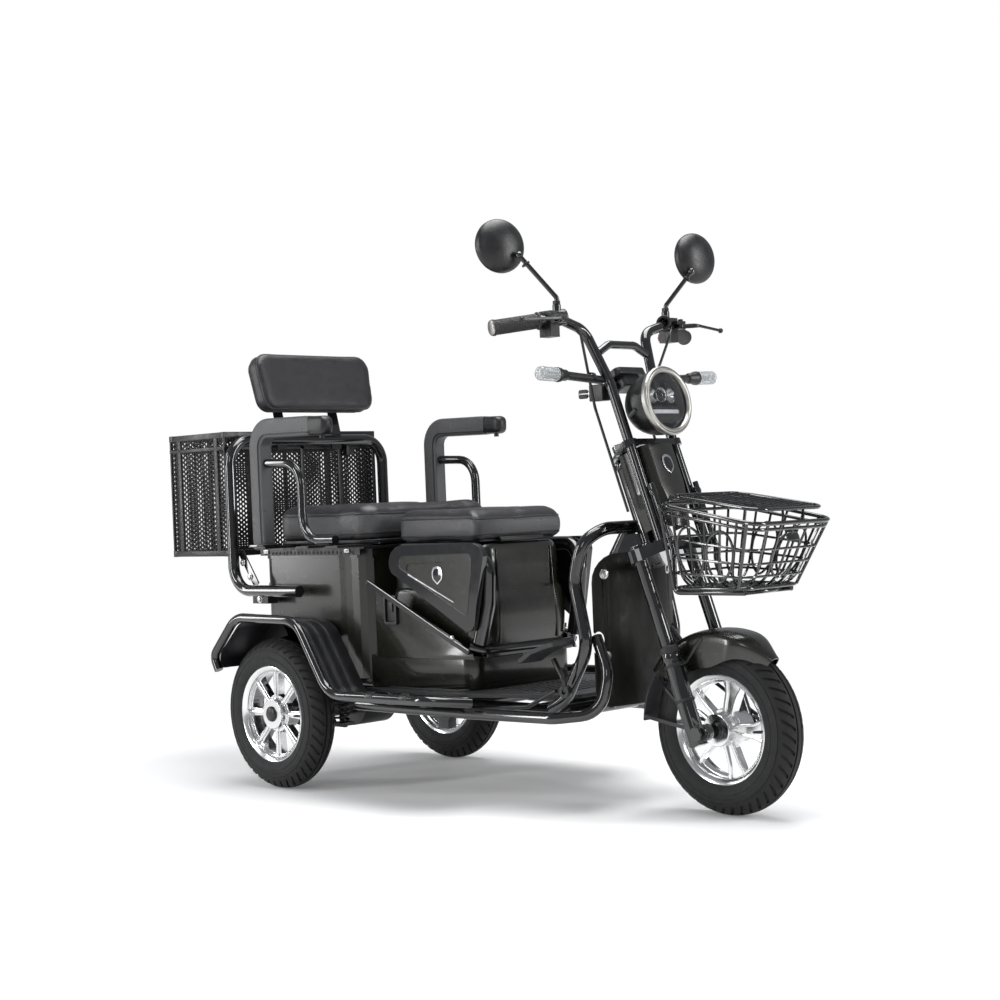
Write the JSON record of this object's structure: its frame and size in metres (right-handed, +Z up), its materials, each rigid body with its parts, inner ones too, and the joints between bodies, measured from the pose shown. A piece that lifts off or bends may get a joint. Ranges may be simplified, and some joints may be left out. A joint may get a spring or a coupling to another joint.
{
  "type": "adult tricycle",
  "caption": "Electric adult tricycle: one steered front wheel, two driven rear wheels, saddle on a battery box, rear passenger bench with backrest and armrests, wire and perforated baskets.",
  "frame": {"origin": "on the ground, on the centre plane, half way along the overall length", "axes": "+X forward along the centre plane, +Y to the rider's left, +Z up"},
  "size_m": [1.802, 0.7024, 1.2669],
  "materials": {
    "frame_black": "gloss black paint",
    "olive_gloss": "gloss dark olive moulded plastic",
    "olive_satin": "satin dark olive plastic",
    "box_olive": "gloss dark olive painted sheet",
    "trim_black": "satin black plastic",
    "floor_plastic": "ribbed grey-black plastic",
    "chrome_ring": "satin chrome",
    "alloy_rim": "bright cast alloy",
    "alloy_parts": "plain alloy",
    "spring_steel": "dark coated spring steel",
    "tyre_rubber": "moulded tyre rubber",
    "grip_rubber": "moulded rubber",
    "cable_rubber": "cable sheath",
    "flap_rubber": "grey sheet rubber",
    "seat_leather": "black synthetic leather",
    "lens_clear": "clear lens",
    "bulb_clear": "clear ribbed indicator body",
    "lamp_red": "red lamp",
    "button_red": "red button",
    "button_grey": "grey switch"
  },
  "bodies": {
    "root": {"main_frame": "frame_black", "head_tube": "frame_black", "guard_hoop": "frame_black", "side_tubes": "frame_black", "leg_shield": "olive_satin", "floor_board": "floor_plastic", "rear_box": "box_olive", "battery_box": "olive_gloss", "body_trim": "trim_black", "side_cover_left": "trim_black", "side_cover_right": "trim_black", "battery_pack": "trim_black", "controller": "alloy_parts", "rear_fender_left": "trim_black", "rear_fender_right": "trim_black", "roll_tube": "frame_black", "rear_basket": "frame_black", "seat_deck": "frame_black", "seat_guards": "frame_black", "armrest_left": "seat_leather", "armrest_right": "seat_leather", "backrest_pad": "seat_leather", "tail_lamps": "lamp_red", "shock_bodies": "alloy_parts", "shock_springs": "spring_steel"},
    "rear_axle": {"axle_housing": "frame_black"},
    "wheel_rear_left": {"rear_tyre_left": "tyre_rubber", "rear_rim_left": "alloy_rim"},
    "wheel_rear_right": {"rear_tyre_right": "tyre_rubber", "rear_rim_right": "alloy_rim"},
    "steering": {"steering_stem": "frame_black", "handlebar": "frame_black", "grip_left": "grip_rubber", "switch_pods": "trim_black", "mirror_stems": "frame_black", "headlamp_shell": "trim_black", "headlamp_ring": "chrome_ring", "headlamp_lens": "lens_clear", "front_cover": "olive_gloss", "front_basket": "frame_black", "indicators": "bulb_clear", "display": "trim_black", "brake_cables": "cable_rubber"},
    "throttle": {"throttle_grip": "grip_rubber"},
    "lever_left": {"brake_lever_left": "alloy_parts"},
    "lever_right": {"brake_lever_right": "alloy_parts"},
    "mirror_head_left": {"mirror_left": "trim_black"},
    "mirror_head_right": {"mirror_right": "trim_black"},
    "lid": {"basket_lid": "frame_black"},
    "key": {"ignition_key": "alloy_parts"},
    "horn": {"horn_button": "button_red"},
    "turn_slider": {"turn_switch": "button_grey"},
    "lower_fork": {"fork_sliders": "frame_black", "front_fender": "olive_gloss", "mud_flap": "flap_rubber"},
    "wheel_front": {"front_tyre": "tyre_rubber", "front_rim": "alloy_rim"},
    "driver_saddle": {"driver_seat": "seat_leather"},
    "passenger_saddle": {"passenger_seat": "seat_leather"},
    "pedal": {"brake_pedal": "trim_black"}
  },
  "joints": [
    {"name": "steer", "type": "hinge", "parent": "root", "child": "steering", "pos_m": [0.47, 0, 0.68], "axis": [-0.342, 0, 0.9397], "range_deg": [-35, 35]},
    {"name": "fork_travel", "type": "slide", "parent": "steering", "child": "lower_fork", "axis": [-0.342, 0, 0.9397], "range_m": [0, 0.03], "stiffness_N_per_m": 18000, "springref_m": -0.02},
    {"name": "front_wheel_spin", "type": "hinge", "parent": "lower_fork", "child": "wheel_front", "pos_m": [0.705, 0, 0.18], "axis": [0, 1, 0], "continuous": true},
    {"name": "axle_travel", "type": "slide", "parent": "root", "child": "rear_axle", "axis": [0, 0, 1], "range_m": [0, 0.022], "stiffness_N_per_m": 50000, "springref_m": -0.02, "deforming": ["shock_springs"]},
    {"name": "rear_left_wheel_spin", "type": "hinge", "parent": "rear_axle", "child": "wheel_rear_left", "pos_m": [-0.435, 0.28, 0.18], "axis": [0, 1, 0], "continuous": true},
    {"name": "rear_right_wheel_spin", "type": "hinge", "parent": "rear_axle", "child": "wheel_rear_right", "pos_m": [-0.435, -0.28, 0.18], "axis": [0, 1, 0], "continuous": true},
    {"name": "throttle_twist", "type": "hinge", "parent": "steering", "child": "throttle", "pos_m": [0.374, -0.312, 1.03], "axis": [-0.3935, -0.9092, -0.1357], "range_deg": [0, 70], "stiffness_Nm_per_rad": 0.3, "springref_deg": -17.19},
    {"name": "brake_lever_left_pull", "type": "hinge", "parent": "steering", "child": "lever_left", "pos_m": [0.46077, 0.19471, 1.04751], "axis": [0, 0, 1], "range_deg": [0, 18], "stiffness_Nm_per_rad": 2, "springref_deg": -5.73},
    {"name": "brake_lever_right_pull", "type": "hinge", "parent": "steering", "child": "lever_right", "pos_m": [0.46077, -0.19471, 1.04751], "axis": [0, 0, -1], "range_deg": [0, 18], "stiffness_Nm_per_rad": 2, "springref_deg": -5.73},
    {"name": "mirror_left_turn", "type": "hinge", "parent": "steering", "child": "mirror_head_left", "pos_m": [0.47, 0.23, 1.168], "axis": [0, 0, 1], "range_deg": [-20, 20]},
    {"name": "mirror_right_turn", "type": "hinge", "parent": "steering", "child": "mirror_head_right", "pos_m": [0.378, -0.23, 1.186], "axis": [0, 0, 1], "range_deg": [-20, 20]},
    {"name": "basket_lid_hinge", "type": "hinge", "parent": "steering", "child": "lid", "pos_m": [0.66, 0, 0.666], "axis": [0, -1, 0], "range_deg": [0, 90]},
    {"name": "key_turn", "type": "hinge", "parent": "steering", "child": "key", "pos_m": [0.4045, -0.047, 0.894], "axis": [-1, 0, 0], "range_deg": [0, 90]},
    {"name": "horn_press", "type": "slide", "parent": "steering", "child": "horn", "axis": [1, 0, 0], "range_m": [0, 0.003], "stiffness_N_per_m": 300, "springref_m": -0.002},
    {"name": "turn_switch_slide", "type": "slide", "parent": "steering", "child": "turn_slider", "axis": [0, 1, 0], "range_m": [-0.004, 0.004]},
    {"name": "driver_seat_hinge", "type": "hinge", "parent": "root", "child": "driver_saddle", "pos_m": [0.123, 0, 0.582], "axis": [0, 1, 0], "range_deg": [0, 65]},
    {"name": "passenger_seat_hinge", "type": "hinge", "parent": "root", "child": "passenger_saddle", "pos_m": [-0.558, 0, 0.586], "axis": [0, -1, 0], "range_deg": [0, 50]},
    {"name": "brake_pedal_press", "type": "hinge", "parent": "root", "child": "pedal", "pos_m": [0.424, -0.19, 0.262], "axis": [0, 1, 0], "range_deg": [0, 14], "stiffness_Nm_per_rad": 12, "springref_deg": -5.73}
  ]
}
